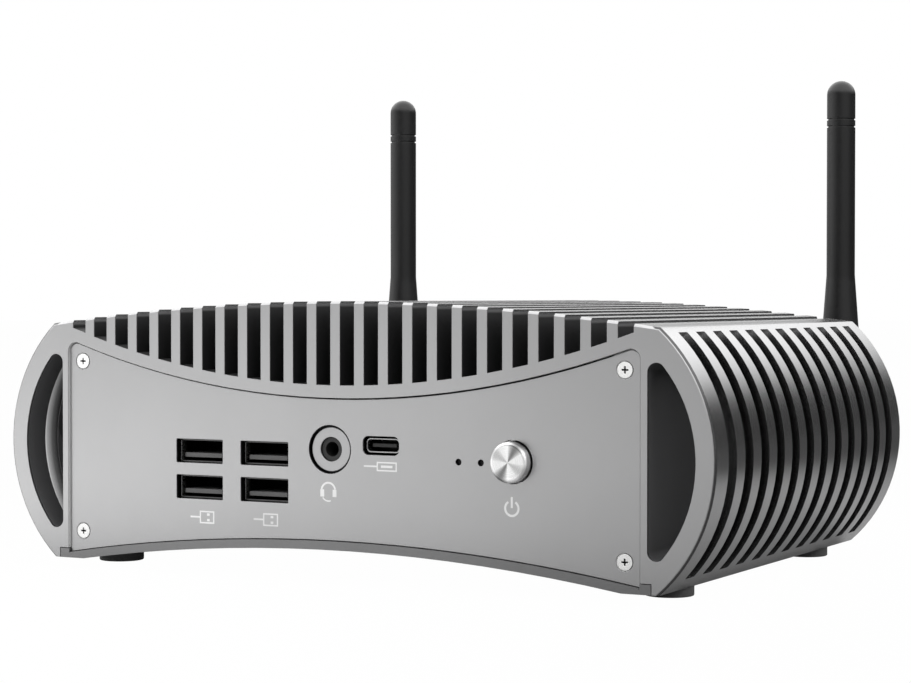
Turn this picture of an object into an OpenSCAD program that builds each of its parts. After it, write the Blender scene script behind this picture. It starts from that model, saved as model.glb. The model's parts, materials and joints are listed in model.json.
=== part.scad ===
// Fanless mini pc with finned sides, fixed panels and two folding antennas.
// Millimetres, +Z up, front towards -Y. The origin is the middle of the whole
// object on the table. Modules are drawn with Y = 0 on the chassis's front face
// and Z = 0 on its bottom edge, and placed() moves them into the frame.

/* [Chassis] */
// Widest point of the body
body_w = 198.2; // [197:0.1:199]
// Depth of the body, front face to rear face
body_d = 137.4; // [136:0.2:139]
// Height of the crown over the bottom edge
crown_z = 66.7; // [66:0.1:68]
// Radius of the crown's arc
crown_r = 625; // [600:5:660]
// Radius of the sides
side_r = 40.5; // [40:0.1:41]
// Radius of the side channels' curved wall
channel_r = 34; // [33.5:0.1:34.5]
// Radius of the side channels' corners
channel_corner = 2.2; // [1.8:0.1:2.6]

/* [Cooling fins] */
// Slots along the top
slot_count = 24; // [22:2:24]
// Distance between neighbouring slots
slot_pitch = 6.7; // [6.5:0.05:6.75]
// Width of one slot
slot_w = 4.02; // [3.6:0.02:4.4]
// Roof left under the slots
roof_t = 3.5; // [3:0.1:4]
// Grooves along each side
groove_count = 12; // [10:1:12]
// Distance between neighbouring grooves
groove_pitch = 10.58; // [10.5:0.02:10.6]
// Width of one groove
groove_w = 5.4; // [5:0.1:6]
// Solid rim in front of the first groove
groove_front = 7.8; // [7:0.1:9]

/* [Panels] */
// Half of the panels' width
panel_half = 80.3; // [80:0.1:80.5]
// Thickness of the front and rear panels
panel_t = 2.0; // [1.8:0.1:2.2]
// Depth of the panels behind the chassis's ends
panel_inset = 0.8; // [0.6:0.1:1]
// Gap between a panel and its opening
panel_gap = 0.4; // [0.3:0.05:0.5]
// Chamfer of the chassis's outer edges, front and rear
edge_chamfer = 0.6; // [0.4:0.1:0.8]
// Thickness of the bottom cover at its middle
cover_t = 2.15; // [1.9:0.05:2.3]

/* [Front ports] */
// Width of a flat port's opening
usb_w = 14.0; // [13.9:0.1:14.4]
// Height of a flat port's opening
usb_h = 6.05; // [6:0.05:6.4]
// Across distance between the two port stacks
usb_pitch_x = 19.32; // [19:0.1:21]
// Height distance between the two port rows
usb_pitch_z = 9.08; // [9:0.02:9.2]
// Diameter of the power button's cap
button_d = 9.8; // [9.6:0.1:10]
// How far the cap stands out of the chassis's face
button_proud = 2.0; // [1.8:0.1:2.6]
// Travel of the power button
button_travel = 1.2; // [0.8:0.1:1.2]

/* [Antennas] */
// Distance of each antenna from the middle
antenna_x = 72.85; // [72:0.05:73]
// Height of the antennas' connector axis
antenna_z = 42; // [41:0.5:43]
// Distance of the whips behind the rear face
antenna_reach = 26.6; // [26.4:0.1:28]
// Top of the whips over the bottom edge
antenna_top = 130.3; // [120:0.5:140]
// Diameter of the whip
whip_d = 8.15; // [7.8:0.05:8.4]
// Diameter of the whip's root, knuckle and barrel
root_d = 10.5; // [10:0.1:10.8]

/* [Feet] */
// Height of the rubber feet
foot_h = 2.5; // [2:0.1:3]
// Diameter of the rubber feet
foot_d = 11.8; // [11:0.1:12]

/* [Hidden] */
$fn = 96;
ARC_FN = 1440;                         // sides of the long arcs
SIDE_FN = 360;                         // sides of the side arcs

// ---- frame ----
antenna_y = body_d + antenna_reach;
object_d = button_proud + antenna_y + root_d / 2;
front_y = button_proud - object_d / 2;

// ---- section outlines ----
side_cx = body_w / 2 - side_r;         // centre of the side arc
side_cz = 30.5;
top_arc_r = 242.1;                     // panels' top edge, lowest at the middle
top_arc_z = 42.7;
bottom_arc_r = 488.1;                  // panels' bottom edge, highest at the middle
bottom_arc_z = 8.3;
corner_r = 2.0;                        // panels' top corners
cover_tab = 83.3;                      // half width over the cover's tabs
cover_tab_h = 2.4;
cover_edge_h = 1.2;
notch_gap = 0.2;

channel_x = 82.4;                      // flat side of the side channels
channel_cx = side_cx + 1.6;            // centre of the channels' curved wall
channel_cz = 30.3;
groove_x = 86.7;                       // grooves open everything outside this plane
groove_z = 3.2;                        // and above this one

rail_x0 = 73.0;                        // screw rails inside the tunnel
rail_bottom = [3.1, 10.7];
rail_top_z = 47.7;
rail_y0 = panel_inset + panel_t;
rail_root = 0.5;                       // rails reach this far into the tunnel's wall

// ---- screws ----
panel_screw_x = 76.5;
panel_screw_z = [7.1, 51.1];
screw_head_d = 3.8;
screw_head_edge = 0.25;                // straight rim of a countersunk head
screw_cross = [1.7, 0.42, 0.9];        // length, width and depth of a driver's cross
head_gap = 0.3;                        // between a head and its countersink
screw_r = 1.25;
tapped_r = 1.3;
panel_screw_l = 9;
cover_screw_x = 78;
cover_screw_y = [42, 95];
cover_screw_l = 7.5;
foot_x = 79.1;
foot_y = [21, body_d - 21];
foot_edge = 0.2;                       // rounding of the feet's lower edge

// ---- boards ----
board_t = 1.6;
board_z1 = 15.5;                       // top of the motherboard
board_z0 = board_z1 - board_t;
board_half = 78.5;
board_y = [6, 131];
standoff_x = 76.4;
standoff_y = [24, 113];
io_y = [13.5, 15.1];                   // board behind the front panel
io_x = [-10, 60];
io_z = [17, 41];
header_x = [18, 42];
header_t = 4;
header_top = 22;
cpu_at = [4, 62];
cpu_size = [30, 26, 1.1];
die_size = [14, 10, 0.7];
pad_t = 0.5;
pad_z = board_z1 + cpu_size[2] + die_size[2];
block_size = [44, 40];
block_z = pad_z + pad_t;               // underside of the heat block
block_gap = 0.35;                      // between the heat block and the tunnel's roof
block_screw = [17, 15];
block_screw_r = 1.45;
block_bore = 8;

// ---- plug-in cards ----
memory_x = [-64, -34];
memory_y = [32, 99.6];
memory_z = 18.5;
memory_t = 1.2;
card_z = [18, 18.8];                   // faces of the drive and the radio card
card_w = 22;
card_tail = 3.8;                       // length of a card inside its socket
ssd_at = [43, 38];
ssd_l = 80;
wifi_at = [66.3, 60];
wifi_l = 30;
coin_at = [-62, 18];
coin_d = 20;

// ---- front ports ----
usb_x = -30.6;
usb_z = 24.35;
usb_snout = 0.5;                       // shells reach this far into the panel
port_wall = 0.3;
port_inner = [13.0, 5.1];
port_gap = 0.2;
port_depth = 12;
tongue_size = [11.2, 1.15];
tongue_drop = 1.15;
jack_x = -2.0;
jack_z = 30.5;
jack_bore_r = 1.8;
jack_barrel_r = 2.95;
jack_well_r = 6.0;
jack_well_h = 1.2;
jack_front = panel_inset + jack_well_h;
jack_ring_r = 5.4;
jack_ring_t = 0.55;
jack_body = 5.5;                       // half of the housing behind the panel
usb_c_x = 12.35;
usb_c_z = 31.8;
usb_c_cut = [10.1, 4.6, 1.5];          // width, height and corner radius
usb_c_outer = [9.3, 3.5, 1.2];
usb_c_wall = 0.3;
usb_c_front = panel_inset + 1.2;
led_x = [33.55, 39.5];
led_z = 28.6;
led_r = 0.75;
led_y = 11.5;                          // front of the light chips
led_recess = 0.9;                      // light pipes end this far behind the panel's face

// ---- power button ----
button_x = 47.95;
button_z = 29.1;
button_hole_r = 5.2;
button_edge = 0.9;                     // rounding of the cap's edge
button_seat = panel_inset + panel_t;   // rear face of the front panel
flange_r = 6.2;
flange_y = [button_seat + 0.05, button_seat + 1.05];
guide_r = 7.0;
guide_wall = [7.3, 8.5];
stem_r = 1.5;
stem_end = 9.75;
switch_y = stem_end + button_travel + 0.05;
plunger_r = 1.6;
spring_gap = 0.25;

// ---- rear ports ----
rear_face = body_d - panel_inset;      // outer face of the rear panel
rear_proud = 0.4;                      // connectors stand this far out of it
dc_x = 63;
dc_size = [9, 14, 11];
dc_bore_z = 6;                         // middle of its bore over the board
display_x = [25, 44];
display_size = [15.0, 12, 5.6];
lan_x = [-13.2, 4.2];
lan_size = [16, 18, 13.4];
rear_usb_x = [-51, -33];
stack_size = [13.8, 17, 17.1];
stack_port_z = [for (k = [-0.5, 0.5]) usb_z + k * usb_pitch_z - board_z1];

// ---- antennas ----
thread_r = 3.15;
thread_end = rear_face + 10;
jack_hex = [rear_face - panel_t - 3, rear_face - panel_t];
hex_r = 4.6;
washer_r = 5.0;
washer_t = 0.5;
nut_t = 2;
crimp_l = 5;                           // stub behind the jack that takes the lead
crimp_r = 1.6;
contact_r = 0.65;
contact_l = 8;
coupling_y = [rear_face + 3.9, rear_face + 14.9];
coupling_r = 4.7;
coupling_bore_r = 3.2;
coupling_web = 2;
web_y = coupling_y[1] - coupling_web;
knurl_r = 0.4;
neck_r = 2.5;
flange_ring_r = 3.05;
flange_front = thread_end + 0.7 - antenna_y;     // these three are from the pivot
base_y = coupling_y[1] + 0.6 - antenna_y;
barrel_end = -5.4;
ear_r = 4.9;
tongue_half = 2.5;
ear_inner = 2.6;
hinge_pin_r = 1.25;
hinge_bore_r = 1.3;
whip_foot = 5.3;                       // heights over the pivot
flare = [16, 32];
ring_z = [75.0, 77.1];
ring_w = 0.55;
ring_depth = 0.35;

// ---- coax leads ----
lead_r = 0.6;
lead_start = [[61, 74, 20.45], [69, 74, 20.45]];
lead_z = [36, 38];
lead_y = [100, 103];

// ==== helpers ====

// moves a piece from the chassis's own corner into the object's frame
module placed() translate([0, front_y, foot_h]) children();

// extrudes an outline drawn in X and Z from y0 to y1
module along_y(y0, y1)
    translate([0, y1, 0]) rotate([90, 0, 0]) linear_extrude(y1 - y0) children();

// an outline and its mirror image
module both_halves() {
    children();
    mirror([1, 0]) children();
}

// copies a piece to both sides
module both_sides(x) for (s = [-1, 1]) translate([s * x, 0, 0]) children();

// a cylinder from y0 to y1 along Y
module y_rod(r, y0, y1) translate([0, y0, 0]) rotate([-90, 0, 0]) cylinder(r = r, h = y1 - y0);

// a ring along Y
module y_ring(r_out, r_in, y0, y1) difference() {
    y_rod(r_out, y0, y1);
    y_rod(r_in, y0 - 1, y1 + 1);
}

// a box given by its low and high corners
module block(low, high) translate(low) cube(high - low);

// a rectangle with round corners, centred
module round_rect(w, h, r) {
    square([w - 2 * r, h], center = true);
    square([w, h - 2 * r], center = true);
    for (x = [-1, 1], z = [-1, 1]) translate([x * (w / 2 - r), z * (h / 2 - r)]) circle(r = r);
}

// a straight rod between two points
module rod(a, b, r) {
    d = b - a;
    l = norm(d);
    translate(a) rotate([0, acos(d[2] / l), atan2(d[1], d[0])]) cylinder(r = r, h = l);
}

// countersunk screw: the head's top at z = 0, the shank towards -Z
module countersunk(l) {
    head_r = screw_head_d / 2;
    cone = head_r - screw_r;
    difference() {
        union() {
            translate([0, 0, -screw_head_edge]) cylinder(r = head_r, h = screw_head_edge);
            translate([0, 0, -screw_head_edge - cone]) cylinder(r1 = screw_r, r2 = head_r, h = cone);
            translate([0, 0, -l]) cylinder(r = screw_r, h = l - cone);
        }
        driver_cross();
    }
}

// the cross of a screw's head, down from z = 0
module driver_cross() for (a = [0, 90]) rotate([0, 0, a])
    translate([-screw_cross[0] / 2, -screw_cross[1] / 2, -screw_cross[2]])
        cube([screw_cross[0], screw_cross[1], screw_cross[2] + 1]);

// room for a countersunk head, opening at z = 0
module countersink() {
    hole_r = screw_r + 0.1;
    head_r = screw_head_d / 2 + head_gap;
    cone = head_r - hole_r;
    translate([0, 0, -screw_head_edge]) cylinder(r = head_r, h = 1);
    translate([0, 0, -screw_head_edge - cone]) cylinder(r1 = hole_r, r2 = head_r, h = cone);
    translate([0, 0, -4]) cylinder(r = hole_r, h = 4);
}

// pan head screw: the head sits on z = 0, the shank goes to z = -l
module pan_screw(l, r, head_r, head_h) difference() {
    union() {
        cylinder(r = head_r, h = head_h);
        translate([0, 0, -l]) cylinder(r = r, h = l);
    }
    translate([0, 0, head_h]) driver_cross();
}

// a disc standing on z = 0, its lower edge rounded
module rounded_disc(r, h, edge) rotate_extrude() {
    square([r - edge, h]);
    translate([0, edge]) square([r, h - edge]);
    translate([r - edge, edge]) circle(r = edge);
}

// ==== outlines ====

// a round bar from the front face to the rear face, chamfered at both ends
module chamfered_bar(r) {
    translate([0, edge_chamfer, 0]) rotate([-90, 0, 0]) cylinder(r = r, h = body_d - 2 * edge_chamfer);
    for (y = [0, body_d]) translate([0, y, 0]) rotate([y == 0 ? -90 : 90, 0, 0])
        cylinder(r1 = r - edge_chamfer, r2 = r, h = edge_chamfer);
}

// the chassis without its holes: round sides and a crowned top
module chassis_body() intersection() {
    union() {
        block([-side_cx, 0, 0], [side_cx, body_d, crown_z + 1]);
        both_sides(side_cx) translate([0, 0, side_cz]) chamfered_bar(side_r, $fn = SIDE_FN);
    }
    block([-body_w, -1, 0], [body_w, body_d + 1, crown_z + 1]);
    translate([0, 0, crown_z - crown_r]) chamfered_bar(crown_r, $fn = ARC_FN);
}

// outline between the two long arcs, with round top corners
module hourglass(half, grow) {
    arc_r = top_arc_r - grow;
    fillet = corner_r + grow;
    arc_cz = top_arc_z + top_arc_r;
    fillet_x = half - fillet;
    fillet_z = arc_cz - sqrt(pow(arc_r + fillet, 2) - pow(fillet_x, 2));
    touch_x = fillet_x * arc_r / (arc_r + fillet);
    difference() {
        translate([-half, 0]) square([2 * half, crown_z]);
        translate([0, arc_cz]) circle(r = arc_r, $fn = ARC_FN);
        translate([0, bottom_arc_z - bottom_arc_r - grow]) circle(r = bottom_arc_r, $fn = ARC_FN);
        both_halves() difference() {
            translate([touch_x, fillet_z]) square([half, crown_z]);
            translate([fillet_x, fillet_z]) circle(r = fillet);
        }
    }
}

// hole through the chassis: the panels' outline, open at the bottom
module tunnel_outline() {
    half = panel_half + panel_gap;
    hourglass(half, panel_gap);
    translate([-half, -1]) square([2 * half, bottom_arc_z + 3]);
}

// D shaped channel, right side
module channel_outline() {
    corner_x = channel_x + channel_corner;
    corner_z = sqrt(pow(channel_r - channel_corner, 2) - pow(corner_x - channel_cx, 2));
    translate([0, channel_cz]) difference() {
        intersection() {
            translate([channel_cx, 0]) circle(r = channel_r, $fn = SIDE_FN);
            translate([channel_x, -channel_r]) square([body_w, 2 * channel_r]);
        }
        for (flip = [[0, 0], [0, 1]]) mirror(flip)
            translate([corner_x, corner_z]) outside_corner(atan2(corner_z, corner_x - channel_cx));
    }
}

// what lies outside a round corner, from the wall on its left to the arc met at angle a
module outside_corner(a) {
    reach = 4 * channel_corner;
    difference() {
        polygon([[0, 0], reach * [cos(a), sin(a)], [-reach, reach], [-reach, 0]]);
        circle(r = channel_corner);
    }
}

// the slots of the top, each down to the arc over the tunnel
module slot_outline() intersection() {
    translate([0, top_arc_z + top_arc_r]) circle(r = top_arc_r - roof_t, $fn = ARC_FN);
    for (i = [0 : slot_count - 1])
        translate([(i - (slot_count - 1) / 2) * slot_pitch - slot_w / 2, 0]) square([slot_w, crown_z + 5]);
}

// bottom cover: a strip with raised tabs at its ends and a crowned middle
module cover_outline() {
    translate([-cover_tab, 0]) square([2 * cover_tab, cover_edge_h]);
    intersection() {
        translate([0, bottom_arc_z - bottom_arc_r - notch_gap]) circle(r = bottom_arc_r, $fn = ARC_FN);
        translate([-panel_half, 0]) square([2 * panel_half, bottom_arc_z]);
    }
    for (x = [-cover_tab, panel_half + notch_gap])
        translate([x, 0]) square([cover_tab - panel_half - notch_gap, cover_tab_h]);
}

// ==== case pieces ====

module chassis() color("silver") placed() difference() {
    union() {
        difference() {
            chassis_body();
            along_y(-1, body_d + 1) hole_outline();
        }
        along_y(rail_y0, body_d - rail_y0) rail_outline();
    }
    side_grooves();
    for (x = [-1, 1], z = panel_screw_z) translate([x * panel_screw_x, 0, z]) {
        y_rod(tapped_r, rail_y0 - 1, rail_y0 + panel_screw_l);
        y_rod(tapped_r, body_d - rail_y0 - panel_screw_l, body_d);
    }
    for (y = cover_screw_y) both_sides(cover_screw_x)
        translate([0, y, 0]) cylinder(r = tapped_r, h = cover_screw_l + 1);
    for (y = standoff_y) both_sides(standoff_x)
        translate([0, y, rail_bottom[1] - 2]) cylinder(r = tapped_r, h = 5);
}

// everything that runs through the chassis from front to back
module hole_outline() {
    tunnel_outline();
    slot_outline();
    both_halves() channel_outline();
    for (x = [-cover_tab - notch_gap, panel_half])
        translate([x, -1]) square([cover_tab + notch_gap - panel_half, cover_tab_h + 1 + notch_gap]);
}

// ledges along the tunnel's walls that take the screws
module rail_outline() {
    half = panel_half + panel_gap + rail_root;
    both_halves() {
        translate([rail_x0, rail_bottom[0]]) square([half - rail_x0, rail_bottom[1] - rail_bottom[0]]);
        difference() {
            translate([rail_x0, rail_top_z]) square([half - rail_x0, 10]);
            translate([0, top_arc_z + top_arc_r])
                circle(r = top_arc_r - panel_gap - rail_root, $fn = ARC_FN);
        }
    }
}

module side_grooves() for (i = [0 : groove_count - 1]) {
    y = groove_front + i * groove_pitch;
    for (x = [-body_w, groove_x])
        block([x, y, groove_z], [x + body_w - groove_x, y + groove_w, crown_z]);
}

module bottom_cover() color("gray") placed() difference() {
    along_y(0, body_d) difference() {
        cover_outline();
        translate([0, bottom_arc_z - notch_gap - cover_t - bottom_arc_r])
            circle(r = bottom_arc_r, $fn = ARC_FN);
    }
    for (y = cover_screw_y) both_sides(cover_screw_x)
        translate([0, y, 0]) rotate([180, 0, 0]) countersink();
}

module cover_screws() color("dimgray") placed()
    for (y = cover_screw_y) both_sides(cover_screw_x)
        translate([0, y, 0.05]) rotate([180, 0, 0]) countersunk(cover_screw_l);

module feet() color("#222222") placed() for (y = foot_y) both_sides(foot_x) translate([0, y, -foot_h]) {
    cylinder(d1 = foot_d - 2 * foot_edge, d2 = foot_d, h = foot_edge);
    translate([0, 0, foot_edge]) cylinder(d = foot_d, h = foot_h - foot_edge);
}

module panel_plate(y0) along_y(y0, y0 + panel_t) hourglass(panel_half, 0);

module front_panel() color("silver") placed() difference() {
    panel_plate(panel_inset);
    translate([0, panel_inset, 0]) {
        for (i = [-0.5, 0.5], k = [-0.5, 0.5])
            translate([usb_x + i * usb_pitch_x, 0, usb_z + k * usb_pitch_z])
                along_y(-1, panel_t + 1) round_rect(usb_w, usb_h, 0.3);
        translate([jack_x, 0, jack_z]) {
            y_rod(jack_well_r, -1, jack_well_h);
            y_rod(jack_barrel_r + 0.1, -1, panel_t + 1);
        }
        translate([usb_c_x, 0, usb_c_z]) along_y(-1, panel_t + 1)
            round_rect(usb_c_cut[0], usb_c_cut[1], usb_c_cut[2]);
        for (x = led_x) translate([x, 0, led_z]) y_rod(led_r + 0.05, -1, panel_t + 1);
        translate([button_x, 0, button_z]) y_rod(button_hole_r, -1, panel_t + 1);
        for (x = [-1, 1], z = panel_screw_z)
            translate([x * panel_screw_x, 0, z]) rotate([90, 0, 0]) countersink();
    }
}

module front_panel_screws() color("gainsboro") placed() for (x = [-1, 1], z = panel_screw_z)
    translate([x * panel_screw_x, panel_inset, z]) rotate([90, 0, 0]) countersunk(panel_screw_l);

module rear_panel() color("silver") placed() difference() {
    panel_plate(rear_face - panel_t);
    rear_cut(dc_x, dc_size);
    for (x = display_x) rear_cut(x, display_size);
    for (x = lan_x) rear_cut(x, lan_size);
    for (x = rear_usb_x) rear_cut(x, stack_size);
    both_sides(antenna_x) translate([0, 0, antenna_z]) y_rod(thread_r + 0.1, rear_face - 4, rear_face + 1);
    for (x = [-1, 1], z = panel_screw_z)
        translate([x * panel_screw_x, rear_face, z]) rotate([-90, 0, 0]) countersink();
}

// an opening in the rear panel round a connector that stands on the board
module rear_cut(x, size) along_y(rear_face - panel_t - 1, rear_face + 1)
    translate([x - size[0] / 2 - port_gap, board_z1 - port_gap])
        square([size[0] + 2 * port_gap, size[2] + 2 * port_gap]);

module rear_panel_screws() color("gainsboro") placed() for (x = [-1, 1], z = panel_screw_z)
    translate([x * panel_screw_x, rear_face, z]) rotate([-90, 0, 0]) countersunk(panel_screw_l);

// ==== main board ====

module motherboard() color("darkgreen") placed() difference() {
    block([-board_half, board_y[0], board_z0], [board_half, board_y[1], board_z1]);
    for (y = standoff_y) both_sides(standoff_x)
        translate([0, y, board_z0 - 1]) cylinder(r = 1.4, h = board_t + 2);
    at_block_screws(board_z0 - 1) cylinder(r = block_screw_r + 0.15, h = board_t + 2);
}

// copies a piece to the four screws of the heat block, at height z
module at_block_screws(z) for (x = [-1, 1], y = [-1, 1])
    translate([cpu_at[0] + x * block_screw[0], cpu_at[1] + y * block_screw[1], z]) children();

// a cuboid that stands on height z, centred on a point of the board
module stand(at, size, z = board_z1) translate([at[0] - size[0] / 2, at[1] - size[1] / 2, z]) cube(size);

module board_standoffs() color("goldenrod") placed() for (y = standoff_y) both_sides(standoff_x)
    translate([0, y, 0]) difference() {
        union() {
            translate([0, 0, rail_bottom[1]]) cylinder(r = 2.8, h = board_z0 - rail_bottom[1], $fn = 6);
            translate([0, 0, rail_bottom[1] - 1.8]) cylinder(r = screw_r, h = 2);
        }
        translate([0, 0, rail_bottom[1] + 0.4]) cylinder(r = 1.05, h = 5);
    }

module motherboard_screws() color("gainsboro") placed() for (y = standoff_y) both_sides(standoff_x)
    translate([0, y, board_z1]) pan_screw(board_t + 2.4, 1.0, 2.3, 1.6);

module cpu_package() color("darkolivegreen") placed() {
    stand(cpu_at, cpu_size);
    stand(cpu_at, die_size, pad_z - die_size[2]);
}

module thermal_pad() color("lightgray") placed()
    stand(cpu_at, [die_size[0], die_size[1], pad_t], pad_z);

module heat_block() color("lightsteelblue") placed() difference() {
    intersection() {
        stand(cpu_at, [block_size[0], block_size[1], crown_z], block_z);
        along_y(0, body_d) hourglass(panel_half, block_gap);
    }
    at_block_screws(block_z - 1) cylinder(r = block_screw_r + 0.05, h = block_bore + 1);
}

module heat_block_screws() color("gainsboro") placed() at_block_screws(board_z0)
    rotate([180, 0, 0]) pan_screw(block_z + block_bore - 2 - board_z0, block_screw_r, 2.6, 1.8);

module board_inductors() color("dimgray") placed() for (i = [0 : 3])
    stand([-23, 46 + 8 * i], [6, 6, 4]);

module board_capacitors() color("silver") placed() for (x = [-12, 4, 20]) translate([x, 32, board_z1]) {
    cylinder(r = 3.15, h = 0.8);
    translate([0, 0, 0.8]) cylinder(r = 2.9, h = 5);
}

module board_chips() color("#222222") placed() {
    stand([3, 101], [14, 14, 1.2]);
    for (at = [[18.5, 98.5], [-15.5, 98.5], [64.5, 34.5]]) stand(at, [9, 9, 1]);
}

// ---- plug-in cards ----

module memory_socket() color("#1c1c1c") placed() difference() {
    block([memory_x[1] - 1, memory_y[0] - 2, board_z1], [memory_x[1] + 6, memory_y[1] + 2, memory_z + 2.6]);
    block([memory_x[1] - 2, memory_y[0] - 0.1, memory_z - 0.1],
        [memory_x[1] + 4, memory_y[1] + 0.1, memory_z + memory_t + 0.1]);
}

module memory_module() color("forestgreen") placed() {
    block([memory_x[0], memory_y[0], memory_z], [memory_x[1] + card_tail, memory_y[1], memory_z + memory_t]);
    for (i = [0 : 3])
        stand([memory_x[0] + 14, memory_y[0] + 9.5 + 16 * i], [12, 11, 1], memory_z + memory_t);
}

// a card socket with its mouth towards +Y, its mouth at a point of the board
module card_socket(at) translate([at[0], at[1], 0]) difference() {
    half = card_w / 2;
    block([-half - 0.5, -6, board_z1], [half + 0.5, 0, card_z[1] + 1.2]);
    block([-half - 0.1, -card_tail - 0.2, card_z[0] - 0.1], [half + 0.1, 1, card_z[1] + 0.1]);
}

// a card of length l in such a socket, with a half-round screw notch at its far end
module card(at, l) translate([at[0], at[1], 0]) difference() {
    block([-card_w / 2, -card_tail, card_z[0]], [card_w / 2, l - card_tail, card_z[1]]);
    translate([0, l - card_tail, card_z[0] - 1]) cylinder(r = 1.8, h = 3);
}

module ssd_socket() color("#1c1c1c") placed() card_socket(ssd_at);

module ssd_module() color("forestgreen") placed() {
    card(ssd_at, ssd_l);
    for (y = [13.5, 33.5, 53.5]) stand(ssd_at + [0, y], [16, 15, 1.2], card_z[1]);
}

module wifi_socket() color("#1c1c1c") placed() card_socket(wifi_at);

module wifi_card() color("forestgreen") placed() {
    card(wifi_at, wifi_l);
    stand(wifi_at + [0, 9], [16, 12, 1.6], card_z[1]);
}

// posts with screws that hold the far ends of the two cards
module card_screws() color("goldenrod") placed() {
    card_screw(ssd_at + [0, ssd_l - card_tail]);
    card_screw(wifi_at + [0, wifi_l - card_tail]);
}

module card_screw(at) translate([at[0], at[1], board_z1]) {
    cylinder(r = 2.4, h = card_z[0] - board_z1);
    cylinder(r = 1.5, h = 4);
    translate([0, 0, card_z[1] - board_z1]) cylinder(r = 2.6, h = 1.2);
}

module coin_cell_holder() color("#1c1c1c") placed()
    translate([coin_at[0], coin_at[1], board_z1]) difference() {
        cylinder(d = coin_d + 2.4, h = 3.4);
        translate([0, 0, 1]) cylinder(d = coin_d + 0.2, h = 5);
        translate([0, -3, 1]) cube([coin_d, 6, 5]);
    }

module coin_cell() color("gainsboro") placed() translate([coin_at[0], coin_at[1], board_z1 + 1]) {
    cylinder(d = coin_d, h = 2.8);
    translate([0, 0, 2.8]) cylinder(d = coin_d - 2.8, h = 0.4);
}

// ==== ports ====

// housing of two stacked ports, mouths towards -Y, snouts into the panel
module port_stack(snout) difference() {
    union() {
        translate([-stack_size[0] / 2, 0, 0]) cube(stack_size);
        for (z = stack_port_z) translate([0, 0, z])
            along_y(-snout, 1) square(port_inner + [2 * port_wall, 2 * port_wall], center = true);
    }
    for (z = stack_port_z) translate([0, 0, z])
        along_y(-snout - 1, port_depth) square(port_inner, center = true);
}

// the two tongues of one stack, from y0 to the ports' end
module port_tongues(y0) for (z = stack_port_z) translate([0, 0, z - tongue_drop])
    along_y(y0, port_depth) square(tongue_size, center = true);

module front_stack() for (i = [-0.5, 0.5])
    translate([usb_x + i * usb_pitch_x, panel_inset + panel_t + 0.1, board_z1]) children();

module front_usb_shells() color("lightgray") placed() front_stack() port_stack(usb_snout);
module front_usb_tongues() color("gray") placed() front_stack() port_tongues(-0.2);

// turns a piece drawn with its mouth towards -Y to look out of the rear panel
module from_rear(x) translate([x, rear_face + rear_proud, board_z1]) rotate([0, 0, 180]) children();

module rear_usb_shells() color("lightgray") placed() for (x = rear_usb_x) from_rear(x) port_stack(0);
module rear_usb_tongues() color("royalblue") placed() for (x = rear_usb_x) from_rear(x) port_tongues(1.5);

module dc_jack() color("#1c1c1c") placed() from_rear(dc_x) difference() {
    translate([-dc_size[0] / 2, 0, 0]) cube(dc_size);
    translate([0, 0, dc_bore_z]) y_rod(3.0, -1, 10);
}

module dc_jack_pin() color("gainsboro") placed() from_rear(dc_x)
    translate([0, 0, dc_bore_z]) y_rod(1.25, 1.5, 10);

module display_shells() color("lightgray") placed() for (x = display_x) from_rear(x) difference() {
    translate([-display_size[0] / 2, 0, 0]) cube(display_size);
    translate([0, 0, display_size[2] / 2]) along_y(-1, 9) square([14.2, 4.8], center = true);
}

module display_tongues() color("#1c1c1c") placed() for (x = display_x) from_rear(x)
    translate([-5.8, 1, display_size[2] / 2 - 0.6]) cube([11.6, 8, 1.2]);

module lan_jacks() color("lightgray") placed() for (x = lan_x) from_rear(x) difference() {
    translate([-lan_size[0] / 2, 0, 0]) cube(lan_size);
    block([-5.9, -1, 2.6], [5.9, 12, 9.8]);
    block([-3.2, -1, 1.2], [3.2, 12, 3.0]);
}

// ---- board behind the front panel and what it carries ----

module io_board() color("darkgreen") placed()
    block([io_x[0], io_y[0], io_z[0]], [io_x[1], io_y[1], io_z[1]]);

module io_header() color("#1c1c1c") placed()
    block([header_x[0], io_y[1], board_z1], [header_x[1], io_y[1] + header_t, header_top]);

module headset_jack() color("#1c1c1c") placed() translate([jack_x, 0, jack_z]) difference() {
    union() {
        y_rod(jack_barrel_r, jack_front, panel_inset + panel_t + 1.2);
        block([-jack_body, panel_inset + panel_t + 0.1, -jack_body], [jack_body, io_y[0], jack_body]);
    }
    y_rod(jack_bore_r, -1, io_y[0] - 0.8);
}

module headset_jack_nut() color("silver") placed() translate([jack_x, 0, jack_z])
    y_ring(jack_ring_r, jack_barrel_r + 0.05, jack_front - jack_ring_t, jack_front);

// the outline of the reversible port's shell, drawn in by a wall of w
module usb_c_outline(w) round_rect(usb_c_outer[0] - 2 * w, usb_c_outer[1] - 2 * w, usb_c_outer[2] - w);

module usb_c_shell() color("lightgray") placed() translate([usb_c_x, 0, usb_c_z])
    along_y(usb_c_front, io_y[0]) difference() {
        usb_c_outline(0);
        usb_c_outline(usb_c_wall);
    }

module usb_c_tongue() color("#1c1c1c") placed() translate([usb_c_x, 0, usb_c_z]) {
    along_y(8.5, io_y[0]) usb_c_outline(usb_c_wall + 0.05);
    block([-3.35, usb_c_front + 0.7, -0.45], [3.35, 8.6, 0.45]);
}

module led_chips() color("ivory") placed() for (x = led_x)
    block([x - 1.5, led_y, led_z - 0.8], [x + 1.5, io_y[0], led_z + 0.8]);

module light_pipes() color("aliceblue") placed() for (x = led_x) translate([x, 0, led_z]) {
    y_rod(led_r, panel_inset + led_recess, led_y);
    y_rod(led_r + 0.25, panel_inset + panel_t, panel_inset + panel_t + 1.5);
}

// ---- power button ----

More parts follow.
